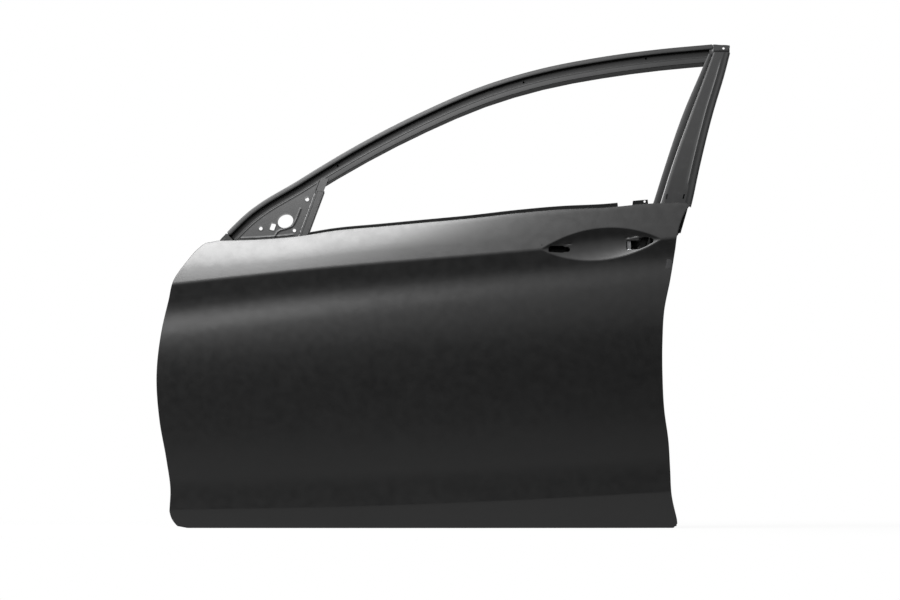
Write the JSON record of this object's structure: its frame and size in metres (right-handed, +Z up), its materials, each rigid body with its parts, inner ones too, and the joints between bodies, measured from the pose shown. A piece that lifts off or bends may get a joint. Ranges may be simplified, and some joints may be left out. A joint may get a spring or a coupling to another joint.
{
  "type": "car door shell",
  "caption": "Bare pressed-steel front left car door shell with window frame, mirror triangle and handle recess, in dark grey primer, with no glass or fittings.",
  "frame": {"origin": "middle of the lower hinge's mounting face, on the outside of the door's front wall", "axes": "+X rearward along the car, +Y inboard, +Z up; the outer skin faces -Y and the hinge face faces -X"},
  "size_m": [1.2636, 0.2717, 1.0664],
  "materials": {
    "skin_primer": "satin dark grey dipped primer",
    "frame_primer": "satin dark grey dipped primer",
    "inner_primer": "dull dark grey dipped primer",
    "plain_steel": "plated steel",
    "mastic": "dull black expanded pad"
  },
  "bodies": {
    "root": {"outer_panel": "skin_primer", "inner_panel": "inner_primer", "upper_sash": "frame_primer", "header_inner": "inner_primer", "rear_glass_channel": "frame_primer", "pillar_cover": "frame_primer", "pillar_inner": "inner_primer", "rear_corner_bracket": "frame_primer", "division_bar": "frame_primer", "mirror_panel": "frame_primer", "front_foot_gusset": "inner_primer", "outer_belt_reinforcement": "inner_primer", "inner_belt_reinforcement": "inner_primer", "lower_hinge_reinforcement": "inner_primer", "upper_hinge_reinforcement": "inner_primer", "check_arm_reinforcement": "inner_primer", "latch_reinforcement": "inner_primer", "lower_hinge_nut_1": "plain_steel", "lower_hinge_nut_2": "plain_steel", "upper_hinge_nut_1": "plain_steel", "upper_hinge_nut_2": "plain_steel", "impact_beam": "inner_primer", "beam_bracket_front": "inner_primer", "beam_bracket_rear": "inner_primer", "anti_flutter_pad_1": "mastic", "anti_flutter_pad_2": "mastic", "anti_flutter_pad_3": "mastic", "handle_reinforcement": "inner_primer", "lock_bracket": "plain_steel"}
  },
  "joints": []
}
